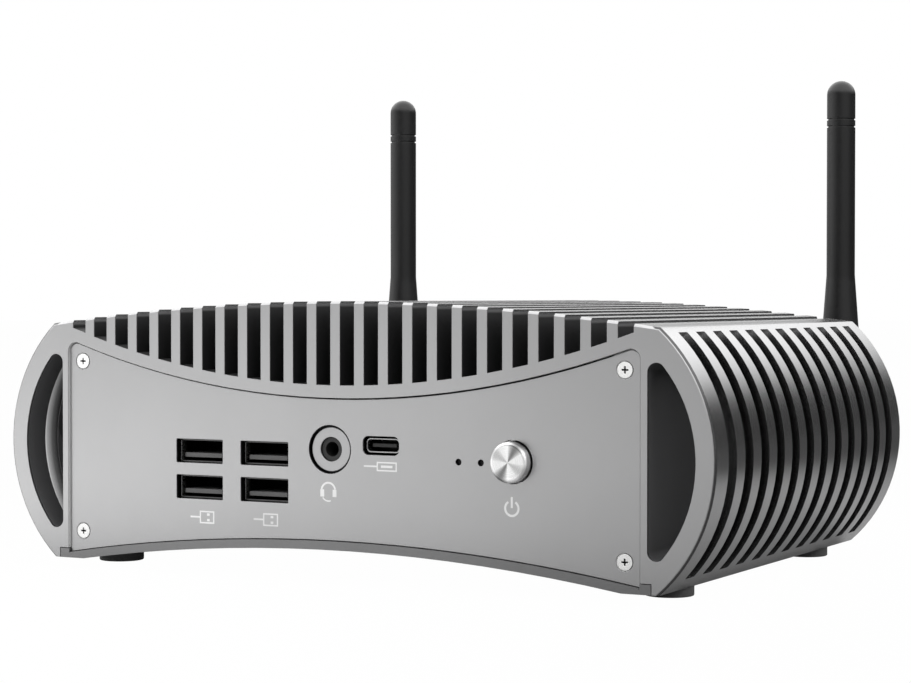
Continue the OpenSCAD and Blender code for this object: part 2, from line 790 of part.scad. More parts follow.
module power_button_cap() color("gainsboro") placed() translate([button_x, 0, button_z]) {
    translate([0, -button_proud, 0]) rotate([-90, 0, 0])
        rounded_disc(button_d / 2, button_proud + flange_y[0], button_edge);
    y_rod(flange_r, flange_y[0], flange_y[1]);
    y_rod(stem_r, flange_y[1], stem_end);
}

module power_button_guide() color("#1c1c1c") placed() translate([button_x, 0, button_z]) {
    y_ring(guide_r, flange_r + 0.1, button_seat, guide_wall[1]);
    y_ring(flange_r + 0.2, stem_r + 0.08, guide_wall[0], guide_wall[1]);
}

module power_button_spring() color("gainsboro") placed() translate([button_x, 0, button_z])
    coil(3.4, 0.2, flange_y[1] + spring_gap, guide_wall[0] - spring_gap, 3);

// a coil along Y: radius r, wire radius w, from y0 to y1 in n turns
module coil(r, w, y0, y1, n) {
    sides = 8;
    steps = n * 16;
    function turn(i) = 360 * n * i / steps;
    function centre(i) = [r * cos(turn(i)), y0 + (y1 - y0) * i / steps, r * sin(turn(i))];
    function ring(i) = [for (k = [0 : sides - 1]) let (t = turn(i), a = 360 * k / sides)
        centre(i) + w * cos(a) * [cos(t), 0, sin(t)] + w * sin(a) * [0, 1, 0]];
    points = [for (i = [0 : steps]) each ring(i)];
    skin = [for (i = [0 : steps - 1], k = [0 : sides - 1]) let (m = (k + 1) % sides)
        [i * sides + k, i * sides + m, (i + 1) * sides + m, (i + 1) * sides + k]];
    polyhedron(points, concat(skin, [[for (k = [sides - 1 : -1 : 0]) k]],
        [[for (k = [0 : sides - 1]) steps * sides + k]]), convexity = 8);
}

module power_switch() color("#333333") placed() translate([button_x, 0, button_z]) difference() {
    block([-3, switch_y, -3], [3, io_y[0], 3]);
    y_rod(plunger_r + 0.06, switch_y - 1, io_y[0] - 0.1);
}

module switch_plunger() color("#1c1c1c") placed() translate([button_x, 0, button_z])
    y_rod(plunger_r, stem_end + 0.02, switch_y + 1.1);

// ==== antennas ====

module at_antennas() both_sides(antenna_x) translate([0, 0, antenna_z]) children();

// a hexagonal nut or head along Y
module hex_nut(y0, t) translate([0, y0, 0]) rotate([-90, 30, 0]) cylinder(r = hex_r, h = t, $fn = 6);

module antenna_jacks() color("goldenrod") placed() at_antennas() difference() {
    union() {
        y_rod(crimp_r, jack_hex[0] - crimp_l, jack_hex[0] + 1);
        hex_nut(jack_hex[0], jack_hex[1] - jack_hex[0]);
        y_rod(thread_r, jack_hex[1] - 1, thread_end);
    }
    y_rod(contact_r, thread_end - contact_l, thread_end + 1);
}

module antenna_jack_nuts() color("goldenrod") placed() at_antennas() difference() {
    union() {
        y_rod(washer_r, rear_face, rear_face + washer_t);
        hex_nut(rear_face + washer_t, nut_t);
    }
    y_rod(thread_r + 0.05, rear_face - 1, rear_face + washer_t + nut_t + 1);
}

module antenna_coupling_nuts() color("goldenrod") placed() at_antennas() difference() {
    y_rod(coupling_r, coupling_y[0], coupling_y[1]);
    y_rod(coupling_bore_r, coupling_y[0] - 1, web_y);
    y_rod(neck_r + 0.08, web_y - 1, coupling_y[1] + 1);
    for (a = [0 : 15 : 345]) rotate([0, a, 0]) translate([coupling_r + 0.15, 0, 0])
        y_rod(knurl_r, coupling_y[0] + 1.5, coupling_y[1] - 1);
}

// a thin round lead through the points p
module lead_path(p) {
    for (i = [0 : len(p) - 2]) rod(p[i], p[i + 1], lead_r);
    for (i = [1 : len(p) - 2]) translate(p[i]) sphere(r = lead_r);
}

// coax leads inside the case, from the wireless card to the two jacks
module antenna_leads() color("#111111") placed() for (s = [0, 1]) {
    from = lead_start[s];
    x = (2 * s - 1) * antenna_x;
    lead_path([from, [from[0], from[1], lead_z[s]], [from[0], lead_y[s], lead_z[s]],
        [x, lead_y[s], lead_z[s]], [x, lead_y[s], antenna_z], [x, jack_hex[0] - crimp_l, antenna_z]]);
}

// moves a piece drawn at the elbow's pivot to one antenna
module at_pivot(side) translate([side * antenna_x, antenna_y, antenna_z]) children();

module antenna_base() difference() {
    union() {
        y_rod(flange_ring_r, flange_front, web_y - 0.1 - antenna_y);
        y_rod(neck_r, flange_front, base_y + 0.1);
        y_rod(root_d / 2, base_y, barrel_end);
        intersection() {
            for (x = [-root_d / 2, ear_inner]) translate([x, 0, 0]) rotate([90, 0, 90])
                linear_extrude(root_d / 2 - ear_inner) {
                    circle(r = ear_r);
                    translate([barrel_end - 0.1, -ear_r]) square([-barrel_end + 0.1, 2 * ear_r]);
                }
            y_rod(root_d / 2, -20, 20);
        }
    }
    rotate([0, 90, 0]) cylinder(r = hinge_bore_r, h = root_d + 2, center = true);
}

module antenna_pin() rotate([0, 90, 0]) cylinder(r = hinge_pin_r, h = root_d - 0.8, center = true);

module antenna_whip() difference() {
    top = antenna_top - antenna_z;
    tip_r = whip_d / 2;
    root_r = root_d / 2;
    knuckle_r = ear_r - 0.2;
    union() {
        translate([0, 0, whip_foot]) cylinder(r = root_r, h = flare[0] - whip_foot);
        translate([0, 0, flare[0]]) cylinder(r1 = root_r, r2 = tip_r, h = flare[1] - flare[0]);
        translate([0, 0, flare[1]]) cylinder(r = tip_r, h = top - tip_r - flare[1]);
        translate([0, 0, top - tip_r]) intersection() {
            sphere(r = tip_r);
            translate([0, 0, tip_r]) cube(2 * tip_r, center = true);
        }
        rotate([90, 0, 90]) linear_extrude(2 * tongue_half, center = true) {
            circle(r = knuckle_r);
            translate([-knuckle_r, 0]) square([2 * knuckle_r, whip_foot + 0.1]);
        }
    }
    rotate([0, 90, 0]) cylinder(r = hinge_bore_r, h = root_d, center = true);
    for (z = ring_z) translate([0, 0, z - ring_w / 2]) difference() {
        cylinder(r = whip_d, h = ring_w);
        translate([0, 0, -1]) cylinder(r = whip_d / 2 - ring_depth, h = 3);
    }
}

module left_antenna_base() color("#1a1a1a") placed() at_pivot(-1) antenna_base();
module left_antenna_pin() color("silver") placed() at_pivot(-1) antenna_pin();
module left_antenna_whip() color("#1a1a1a") placed() at_pivot(-1) antenna_whip();
module right_antenna_base() color("#1a1a1a") placed() at_pivot(1) antenna_base();
module right_antenna_pin() color("silver") placed() at_pivot(1) antenna_pin();
module right_antenna_whip() color("#1a1a1a") placed() at_pivot(1) antenna_whip();

chassis();
bottom_cover();
cover_screws();
feet();
front_panel();
front_panel_screws();
rear_panel();
rear_panel_screws();
motherboard();
board_standoffs();
motherboard_screws();
cpu_package();
thermal_pad();
heat_block();
heat_block_screws();
board_inductors();
board_capacitors();
board_chips();
memory_socket();
memory_module();
ssd_socket();
ssd_module();
wifi_socket();
wifi_card();
card_screws();
coin_cell_holder();
coin_cell();
front_usb_shells();
front_usb_tongues();
io_board();
io_header();
headset_jack();
headset_jack_nut();
usb_c_shell();
usb_c_tongue();
led_chips();
light_pipes();
power_switch();
switch_plunger();
power_button_guide();
power_button_spring();
power_button_cap();
dc_jack();
dc_jack_pin();
display_shells();
display_tongues();
lan_jacks();
rear_usb_shells();
rear_usb_tongues();
antenna_jacks();
antenna_jack_nuts();
antenna_leads();
antenna_coupling_nuts();
left_antenna_base();
left_antenna_pin();
left_antenna_whip();
right_antenna_base();
right_antenna_pin();
right_antenna_whip();
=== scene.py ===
import json
import math

import bmesh
import bpy
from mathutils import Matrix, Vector


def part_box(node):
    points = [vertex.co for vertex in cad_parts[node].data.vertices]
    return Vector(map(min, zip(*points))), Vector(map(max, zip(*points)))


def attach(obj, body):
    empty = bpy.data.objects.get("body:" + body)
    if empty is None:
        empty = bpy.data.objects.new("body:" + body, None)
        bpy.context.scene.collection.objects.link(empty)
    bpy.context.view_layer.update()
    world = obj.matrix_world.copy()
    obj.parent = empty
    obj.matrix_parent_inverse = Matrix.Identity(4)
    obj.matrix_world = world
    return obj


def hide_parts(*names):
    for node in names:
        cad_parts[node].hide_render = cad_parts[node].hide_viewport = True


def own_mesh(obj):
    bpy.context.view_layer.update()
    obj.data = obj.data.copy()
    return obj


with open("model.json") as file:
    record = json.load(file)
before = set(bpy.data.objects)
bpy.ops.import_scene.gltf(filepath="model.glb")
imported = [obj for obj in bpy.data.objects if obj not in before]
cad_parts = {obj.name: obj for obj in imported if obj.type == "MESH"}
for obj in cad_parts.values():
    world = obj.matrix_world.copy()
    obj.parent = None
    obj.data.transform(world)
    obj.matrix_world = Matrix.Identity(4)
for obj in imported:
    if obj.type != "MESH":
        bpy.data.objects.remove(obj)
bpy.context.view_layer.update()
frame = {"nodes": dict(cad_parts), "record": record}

MM = 0.001
NODES = frame["nodes"]
RECORD = frame["record"]

# ---- dimensions that the looks repeat from the design, in metres ----
CHASSIS_LOW, CHASSIS_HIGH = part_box("chassis")
FRONT_Y = CHASSIS_LOW.y            # front face of the chassis
BACK_Y = CHASSIS_HIGH.y
BASE_Z = CHASSIS_LOW.z             # bottom edge of the chassis
PANEL_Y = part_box("front_panel")[0].y
REAR_PANEL_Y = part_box("rear_panel")[1].y
CROWN_Z = CHASSIS_HIGH.z
CROWN_R = 625 * MM
SIDE_R = 40.5 * MM                 # outer side arcs
SIDE_CX = CHASSIS_HIGH.x - SIDE_R
SIDE_CZ = BASE_Z + 30.5 * MM
CHANNEL_R = 34 * MM                # curved walls of the side channels
CHANNEL_CX = SIDE_CX + 1.6 * MM
CHANNEL_CZ = BASE_Z + 30.3 * MM
SLOTS_X = 81.1 * MM                # the top slots lie inside this, the side grooves outside
PORTS_X = 70 * MM                  # every port lies inside this
PORTS_TOP = BASE_Z + 41 * MM       # and under this
ROOF_CZ = BASE_Z + 284.8 * MM      # centre of the arcs over and under the roof
ROOF_R = 240.3 * MM                # radius half way through the roof

WHITE = (1, 1, 1)
NOISE_FROM = (0.3, 0.7)            # where most of a noise texture's values lie

# ---- camera: it looks back at the front's left, from the right ----
LENS = 91.73                       # focal length in millimetres
SENSOR = 36                        # its width in millimetres
CAMERA_RIGHT = 0.29068             # right of the middle
CAMERA_BEFORE = 0.48468            # before the front face
CAMERA_OVER = 0.06813              # over the bottom edge
CAMERA_TURN = math.radians(27.98)  # to the left
CAMERA_DROP = math.radians(1.141)  # downwards
CLIP_START = 0.01

# ---- studio: brightness by direction, each part of a direction from -1 to 1 ----
HALF_TURN = 0.3                    # front and back blend over this much of y
CEILING_FROM = (0.16, 0.42)        # heights between which the ceiling brightens
CEILING = 1.95
FRONT_HIGHER = 0.14                # the ceiling begins this much higher in front
LEFT_FROM = -0.27                  # the bright wall in front begins here
LEFT = 1.62
RIGHT_TO = 0.6                     # the dimmer wall in front is full here
RIGHT = 0.8
BACK_FROM = 0.2                    # the wall behind begins here and brightens to the left
BACK_LEFT = 0.8
DIM = 0.06                         # everywhere
WALLS_TOP = 0.6                    # the walls fade up to this height
WALLS_FADE = 0.3

# ---- floor, in metres and albedo ----
FLOOR_RADIUS = 6.0
FLOOR_SIDES = 96
FLOOR_Z = -0.02 * MM
FLOOR_X = (0.1, -0.25)             # from right to left of the middle, in front
FRONT_FLOOR = (0.27, 1.0)
BACK_FLOOR_FROM = (0.08, 0.3)      # from the object outwards, behind
BACK_FLOOR = (0.34, 0.03)
FLOOR_FRONT_Y = -0.2               # in front of this the front floor is full
FADE_FROM = (0.25, 0.9)            # the front floor fades outwards
FADE = (1.0, 0.45)
FLOOR_GLOW = 0.45                  # a lit card on the floor, in front at the left
FLOOR_WHITE = 0.99                 # how white the camera sees the floor


# ==== nodes ====

class Nodes:
    """Short ways to add and join shader nodes in one tree."""

    def __init__(self, tree):
        self.tree = tree
        self.tree.nodes.clear()

    def new(self, kind):
        return self.tree.nodes.new(kind)

    def link(self, a, b):
        self.tree.links.new(a, b)

    def put(self, value, socket):
        if isinstance(value, bpy.types.NodeSocket):
            self.link(value, socket)
        else:
            socket.default_value = value

    def math(self, operation, a, b=0.0):
        node = self.new("ShaderNodeMath")
        node.operation = operation
        self.put(a, node.inputs[0])
        self.put(b, node.inputs[1])
        return node.outputs[0]

    def add(self, a, b):
        return self.math("ADD", a, b)

    def minus(self, a, b):
        return self.math("SUBTRACT", a, b)

    def times(self, a, b):
        return self.math("MULTIPLY", a, b)

    def length(self, *parts):
        """Length of a vector given by its parts."""
        total = self.times(parts[0], parts[0])
        for part in parts[1:]:
            total = self.add(total, self.times(part, part))
        return self.math("SQRT", total)

    def split(self, vector):
        node = self.new("ShaderNodeSeparateXYZ")
        self.link(vector, node.inputs[0])
        return node.outputs[0], node.outputs[1], node.outputs[2]

    def remap(self, value, low, high, to_low=0.0, to_high=1.0, smooth=False):
        node = self.new("ShaderNodeMapRange")
        node.interpolation_type = "SMOOTHSTEP" if smooth else "LINEAR"
        self.put(value, node.inputs["Value"])
        node.inputs["From Min"].default_value = low
        node.inputs["From Max"].default_value = high
        node.inputs["To Min"].default_value = to_low
        node.inputs["To Max"].default_value = to_high
        return node.outputs[0]

    def ramp(self, fac, stops):
        """A colour ramp; a stop is (place, grey) or (place, (r, g, b))."""
        node = self.new("ShaderNodeValToRGB")
        elements = node.color_ramp.elements
        while len(elements) < len(stops):
            elements.new(0.5)
        for element, (place, value) in zip(elements, stops):
            element.position = place
            rgb = value if isinstance(value, tuple) else (value, value, value)
            element.color = (*rgb, 1)
        self.link(fac, node.inputs["Fac"])
        return node.outputs["Color"]

    def mix(self, fac, a, b):
        node = self.new("ShaderNodeMix")
        node.data_type = "RGBA"
        self.put(fac, node.inputs["Factor"])
        for value, socket in ((a, node.inputs[6]), (b, node.inputs[7])):
            self.put((*value, 1) if isinstance(value, tuple) else value, socket)
        return node.outputs[2]

    def blend(self, fac, a, b):
        """One shader or the other, by a factor."""
        node = self.new("ShaderNodeMixShader")
        self.link(fac, node.inputs["Fac"])
        self.link(a, node.inputs[1])
        self.link(b, node.inputs[2])
        return node.outputs[0]

    def background(self, strength):
        node = self.new("ShaderNodeBackground")
        node.inputs["Color"].default_value = (*WHITE, 1)
        self.put(strength, node.inputs["Strength"])
        return node.outputs[0]


class Shader(Nodes):
    """One procedural material round a Principled shader."""

    def __init__(self, name, roughness, metallic, colour):
        self.material = bpy.data.materials.new(name)
        self.material.use_nodes = True
        super().__init__(self.material.node_tree)
        self.output = self.new("ShaderNodeOutputMaterial")
        self.bsdf = self.new("ShaderNodeBsdfPrincipled")
        self.link(self.bsdf.outputs[0], self.output.inputs["Surface"])
        self.set("Roughness", roughness)
        self.set("Metallic", metallic)
        self.set("Base Color", (*colour, 1))

    def set(self, socket, value):
        self.bsdf.inputs[socket].default_value = value

    def feed(self, socket, output):
        self.link(output, self.bsdf.inputs[socket])

    def fed(self, socket):
        return self.bsdf.inputs[socket].links[0].from_socket

    def place(self):
        return self.new("ShaderNodeTexCoord").outputs["Object"]

    def noise(self, scale, detail=2.0, stretch=(1, 1, 1), seed=0.0):
        mapping = self.new("ShaderNodeMapping")
        mapping.inputs["Location"].default_value = (seed, seed * 0.7, seed * 0.3)
        mapping.inputs["Scale"].default_value = stretch
        self.link(self.place(), mapping.inputs["Vector"])
        node = self.new("ShaderNodeTexNoise")
        node.inputs["Scale"].default_value = scale
        node.inputs["Detail"].default_value = detail
        self.link(mapping.outputs[0], node.inputs["Vector"])
        return node.outputs["Fac"]

    def tones(self, noise, base, darkest, lightest):
        """A colour that varies with a noise, from one share of its brightness to another."""
        dark, light = (tuple(c * share for c in base) for share in (darkest, lightest))
        low, high = NOISE_FROM
        return self.ramp(noise, [(low, dark), (high, light)])

    def bump(self, height, distance, strength=0.5):
        node = self.new("ShaderNodeBump")
        node.inputs["Distance"].default_value = distance
        node.inputs["Strength"].default_value = strength
        self.link(height, node.inputs["Height"])
        self.feed("Normal", node.outputs[0])


# ==== scene: camera, studio and floor ====

def add_camera():
    data = bpy.data.cameras.new("camera")
    data.lens = LENS
    data.sensor_width = SENSOR
    data.clip_start = CLIP_START
    camera = bpy.data.objects.new("camera", data)
    bpy.context.scene.collection.objects.link(camera)
    camera.location = (CAMERA_RIGHT, FRONT_Y - CAMERA_BEFORE, BASE_Z + CAMERA_OVER)
    level = math.cos(CAMERA_DROP)
    look = Vector((-math.sin(CAMERA_TURN) * level, math.cos(CAMERA_TURN) * level, -math.sin(CAMERA_DROP)))
    camera.rotation_euler = look.to_track_quat("-Z", "Y").to_euler()
    bpy.context.scene.camera = camera


def add_world():
    """A white studio: a soft bright ceiling, a bright left side and a dim right side."""
    world = bpy.data.worlds.new("studio")
    bpy.context.scene.world = world
    world.use_nodes = True
    kit = Nodes(world.node_tree)
    x, y, z = kit.split(kit.new("ShaderNodeTexCoord").outputs["Generated"])
    in_front = kit.remap(y, HALF_TURN, -HALF_TURN, smooth=True)
    behind = kit.remap(y, -HALF_TURN, HALF_TURN, smooth=True)
    height = kit.minus(z, kit.times(in_front, FRONT_HIGHER))
    ceiling = kit.remap(height, *CEILING_FROM, 0, CEILING, smooth=True)
    front = kit.add(kit.remap(x, LEFT_FROM, -1.0, 0, LEFT), kit.remap(x, 0.0, RIGHT_TO, 0, RIGHT))
    front = kit.times(in_front, front)
    back = kit.times(behind, kit.remap(x, BACK_FROM, -1.0, 0, BACK_LEFT))
    walls = kit.add(kit.add(front, back), DIM)
    walls = kit.times(walls, kit.remap(z, WALLS_TOP, 0.0, WALLS_FADE, 1.0))
    room = kit.background(kit.add(walls, ceiling))
    white = kit.background(1.0)
    seen = kit.blend(kit.new("ShaderNodeLightPath").outputs["Is Camera Ray"], room, white)
    kit.link(seen, kit.new("ShaderNodeOutputWorld").inputs["Surface"])


def add_floor():
    """A pale floor that the camera sees as almost shadowless white, and sees through from below."""
    bm = bmesh.new()
    bmesh.ops.create_circle(bm, cap_ends=True, radius=FLOOR_RADIUS, segments=FLOOR_SIDES)
    mesh = bpy.data.meshes.new("floor")
    bm.to_mesh(mesh)
    bm.free()
    floor = bpy.data.objects.new("floor", mesh)
    bpy.context.scene.collection.objects.link(floor)
    floor.location.z = FLOOR_Z
    kit = Shader("floor_paint", 0.9, 0.0, WHITE)
    kit.set("Specular IOR Level", 0.1)
    x, y, _ = kit.split(kit.place())
    distance = kit.length(x, y)
    fade = kit.remap(distance, *FADE_FROM, *FADE)
    front = kit.times(kit.remap(x, *FLOOR_X, *FRONT_FLOOR), fade)
    back = kit.remap(distance, *BACK_FLOOR_FROM, *BACK_FLOOR, smooth=True)
    before = kit.remap(y, 0.0, FLOOR_FRONT_Y, smooth=True)
    kit.feed("Base Color", kit.mix(before, back, front))
    kit.set("Emission Color", (*WHITE, 1))
    card = kit.remap(x, *FLOOR_X, 0, FLOOR_GLOW)
    kit.feed("Emission Strength", kit.times(kit.times(before, fade), card))
    glow = kit.new("ShaderNodeEmission").outputs[0]
    clear = kit.new("ShaderNodeBsdfTransparent").outputs[0]
    camera_ray = kit.new("ShaderNodeLightPath").outputs["Is Camera Ray"]
    top = kit.blend(kit.times(camera_ray, FLOOR_WHITE), kit.bsdf.outputs[0], glow)
    both = kit.blend(kit.new("ShaderNodeNewGeometry").outputs["Backfacing"], top, clear)
    kit.link(both, kit.output.inputs["Surface"])
    mesh.materials.append(kit.material)


# ==== materials: colours are linear, and depths are below the nearest outer face ====

BLACK = (0.0, 0.0, 0.0)
ANODISED = (0.45, 0.45, 0.453)
COVER = (0.25, 0.25, 0.252)
JACK_RING = (0.44, 0.44, 0.443)
STEEL = (0.86, 0.86, 0.85)
SHADE = (0.012, 0.012, 0.0125)     # what little light reaches the bottom of a cut
LIT_EDGE = (0.7, 0.7, 0.7)         # painted light, for what the walls of the thin gap round a panel pass on
SLOT_SHADE = (0.008, 0.008, 0.0085)
CHANNEL_SHADE = (0.075, 0.075, 0.077)
TUNNEL_SHADE = (0.2, 0.2, 0.2)     # inside, behind the panels
TUNNEL_SHARE = 0.85
CHASSIS_ROUGHNESS = 0.23
BLASTED_ROUGHNESS = 0.34
DULL_ROUGHNESS = 0.6               # in the slots and channels
ENDS_ROUGHER = 0.11                # the chassis's end faces

# depths in metres, each from where a change begins to where it ends
INSIDE = (0.1 * MM, 0.3 * MM)      # behind the chassis's end faces
PAST_PANEL = (2.6 * MM, 3.0 * MM)
PAST_CHAMFER = (0.55 * MM, 0.8 * MM)
END_FACE = (0.5 * MM, 0.1 * MM)
CHAMFER_FRONT = (0.08 * MM, 0.2 * MM)
CHAMFER_BACK = (0.8 * MM, 0.6 * MM)
CHAMFER_INNER = (1.2 * MM, 0.9 * MM)
CHAMFER_SHADE = 0.8
SLOT_TOP = (0.2 * MM, 1.4 * MM)    # under the crown
GROOVE = (0.5 * MM, 5.0 * MM)      # inside the side arcs
GROOVE_SHADES = [(0, 0.0), (0.14, 0.5), (0.55, 0.88), (1, 0.95)]
GROOVE_LIT_Z = (BASE_Z + 60 * MM, BASE_Z + 50 * MM)
GROOVE_LIT = 0.45                  # share of a groove's shade that is left near the top
CHANNEL_WALL = (CHANNEL_R + 0.3 * MM, CHANNEL_R + 0.1 * MM)
PANEL_EDGE = (0.1 * MM, 0.25 * MM)
CUT_OUT = (0.25 * MM, 0.7 * MM)
PANEL_INNER = (2.6 * MM, 2.4 * MM)
PORTS_BAND = (PORTS_TOP + 1 * MM, PORTS_TOP)


def behind_panels(kit):
    """How far a point lies behind the outer face of the nearer end panel."""
    y = kit.split(kit.place())[1]
    return kit.math("MINIMUM", kit.minus(y, PANEL_Y), kit.minus(REAR_PANEL_Y, y))


def shaded(kit, start, end, amount=0.97):
    """Falls into shade between two depths behind the end panels' faces."""
    shade = kit.remap(behind_panels(kit), start, end, 0, amount)
    base = kit.bsdf.inputs["Base Color"]
    colour = kit.fed("Base Color") if base.is_linked else tuple(base.default_value[:3])
    kit.feed("Base Color", kit.mix(shade, colour, SHADE))
    return kit


def anodised(name, base, roughness=BLASTED_ROUGHNESS):
    """Anodised metal with a fine bead-blasted grain and slight cloudiness."""
    kit = Shader(name, roughness, 1.0, base)
    fine = kit.noise(3400, 2)
    cloud = kit.noise(35, 3, seed=3)
    kit.feed("Base Color", kit.tones(cloud, base, 0.98, 1.02))
    kit.feed("Roughness", kit.remap(fine, *NOISE_FROM, roughness - 0.03, roughness + 0.04))
    kit.bump(fine, 0.004 * MM)
    return kit


def panel_finish():
    """Anodised, with painted shade on the cut-outs' walls and painted light on the walls of the outer
    edges, which are matt.
    """
    kit = anodised("panel_anodised", ANODISED)
    behind = behind_panels(kit)
    x, _, z = kit.split(kit.place())
    ports = kit.math("LESS_THAN", kit.math("ABSOLUTE", x), PORTS_X)
    ports = kit.times(ports, kit.remap(z, *PORTS_BAND))
    inner = kit.remap(behind, *PANEL_INNER)
    # painted shade on the cut-outs' walls by the ports, painted light on the walls of the outer edges
    painted_cut_shade = kit.times(kit.times(kit.remap(behind, *CUT_OUT), inner), ports)
    edge = kit.times(kit.times(kit.remap(behind, *PANEL_EDGE), inner), kit.minus(1.0, ports))
    rgb = kit.mix(edge, kit.fed("Base Color"), LIT_EDGE)
    kit.feed("Base Color", kit.mix(painted_cut_shade, rgb, SHADE))
    kit.feed("Metallic", kit.minus(1.0, edge))
    return kit


def finned_chassis():
    """Anodised outside, with painted shade near-black in the top slots and dark in the grooves, chamfer,
    channels and tunnel, and painted light on the tunnel's lip.
    """
    kit = anodised("chassis_anodised", ANODISED, CHASSIS_ROUGHNESS)
    x, y, z = kit.split(kit.place())
    across = kit.math("ABSOLUTE", x)
    from_ends = kit.math("MINIMUM", kit.minus(y, FRONT_Y), kit.minus(BACK_Y, y))
    # painted shade in the slots over the roof, painted light and shade in the tunnel under it
    sides = kit.math("GREATER_THAN", across, SLOTS_X)
    middle = kit.times(kit.remap(from_ends, *INSIDE), kit.minus(1.0, sides))
    over_roof = kit.math("LESS_THAN", kit.length(x, kit.minus(z, ROOF_CZ)), ROOF_R)
    crown = kit.minus(CROWN_Z, kit.math("DIVIDE", kit.times(x, x), 2 * CROWN_R))
    painted_slot_shade = kit.times(kit.times(middle, over_roof), kit.remap(kit.minus(crown, z), *SLOT_TOP))
    painted_tunnel_light_and_shade = kit.times(kit.times(middle, kit.minus(1.0, over_roof)), TUNNEL_SHARE)
    past_panel = kit.remap(from_ends, *PAST_PANEL)
    # painted shade in the grooves, chamfer and channels of the sides
    depth = kit.minus(SIDE_R, kit.length(kit.minus(across, SIDE_CX), kit.minus(z, SIDE_CZ)))
    past_chamfer = kit.times(kit.remap(from_ends, *PAST_CHAMFER), sides)
    painted_groove_shade = kit.ramp(kit.remap(depth, *GROOVE), GROOVE_SHADES)
    painted_groove_shade = kit.times(painted_groove_shade, kit.times(past_chamfer, kit.remap(z, *GROOVE_LIT_Z, GROOVE_LIT, 1.0)))
    painted_chamfer_shade = kit.times(kit.remap(from_ends, *CHAMFER_FRONT), kit.remap(from_ends, *CHAMFER_BACK))
    painted_chamfer_shade = kit.times(kit.times(painted_chamfer_shade, sides), kit.remap(depth, *CHAMFER_INNER, 0, CHAMFER_SHADE))
    channel = kit.length(kit.minus(across, CHANNEL_CX), kit.minus(z, CHANNEL_CZ))
    channel = kit.times(kit.remap(channel, *CHANNEL_WALL), past_chamfer)
    # painted shade: the grooves, deeper down, and the chamfer darken towards black
    rgb = kit.mix(kit.add(painted_groove_shade, painted_chamfer_shade), kit.fed("Base Color"), BLACK)
    # painted shade: the channels' walls turn dark grey
    rgb = kit.mix(channel, rgb, CHANNEL_SHADE)
    # painted light on the tunnel's lip round the panels, painted shade deeper in the tunnel
    rgb = kit.mix(painted_tunnel_light_and_shade, rgb, kit.mix(past_panel, LIT_EDGE, TUNNEL_SHADE))
    # painted shade: the slots' walls turn near-black
    kit.feed("Base Color", kit.mix(painted_slot_shade, rgb, SLOT_SHADE))
    dull = kit.math("MAXIMUM", painted_slot_shade, channel)
    kit.feed("Metallic", kit.minus(1.0, kit.math("MAXIMUM", dull, painted_tunnel_light_and_shade)))
    ends = kit.remap(from_ends, *END_FACE, 0, ENDS_ROUGHER)
    roughness = kit.add(kit.fed("Roughness"), ends)
    kit.feed("Roughness", kit.math("MAXIMUM", roughness, kit.times(dull, DULL_ROUGHNESS)))
    return kit


def plated(name, base, roughness=0.22):
    """Plated metal, slightly smeared."""
    kit = Shader(name, roughness, 1.0, base)
    smear = kit.noise(420, 3, stretch=(1, 1, 3))
    kit.feed("Roughness", kit.remap(smear, *NOISE_FROM, roughness - 0.06, roughness + 0.08))
    kit.bump(kit.noise(900, 2), 0.004 * MM, 0.4)
    return kit


def port_shell():
    """Formed steel sheet, with painted light on its upright walls, and painted shade on the rest and
    deeper inside.
    """
    kit = plated("port_shell", STEEL, 0.3)
    across = kit.math("ABSOLUTE", kit.split(kit.new("ShaderNodeNewGeometry").outputs["Normal"])[0])
    # painted light on the upright walls, painted shade on the flat ones
    kit.feed("Base Color", kit.mix(across, (0.10, 0.10, 0.10), (0.95, 0.95, 0.94)))
    return shaded(kit, 2.2 * MM, 4.0 * MM)


def moulded(name, base, roughness=0.42, grain=3200, depth=0.015 * MM):
    """Moulded plastic or rubber with a fine grain and slight cloudiness."""
    kit = Shader(name, roughness, 0.0, base)
    fine = kit.noise(grain, 2)
    cloud = kit.noise(60, 2, seed=5)
    kit.feed("Base Color", kit.tones(cloud, base, 0.85, 1.15))
    kit.feed("Roughness", kit.remap(fine, *NOISE_FROM, roughness - 0.05, roughness + 0.08))
    kit.bump(fine, depth)
    return kit


def circuit_board():
    """Green solder mask with faint copper tracks under it."""
    kit = Shader("solder_mask", 0.32, 0.0, (0.02, 0.13, 0.06))
    tracks = kit.new("ShaderNodeTexBrick")
    tracks.inputs["Scale"].default_value = 160
    tracks.inputs["Color1"].default_value = (0.015, 0.115, 0.05, 1)
    tracks.inputs["Color2"].default_value = (0.02, 0.145, 0.065, 1)
    tracks.inputs["Mortar"].default_value = (0.04, 0.22, 0.10, 1)
    tracks.inputs["Mortar Size"].default_value = 0.03
    kit.link(kit.place(), tracks.inputs["Vector"])
    kit.feed("Base Color", tracks.outputs["Color"])
    kit.bump(tracks.outputs["Fac"], 0.02 * MM, 0.4)
    return kit


RINGS = 9000                       # per metre of radius
PAINTED_WEDGE_TURN = math.radians(60)      # where the wedges of painted highlight and shade on the turned face lie
PAINTED_WEDGE_TONES = [(0, 0.62), (0.2, 0.95), (0.75, 0.95), (1, 0.22)]


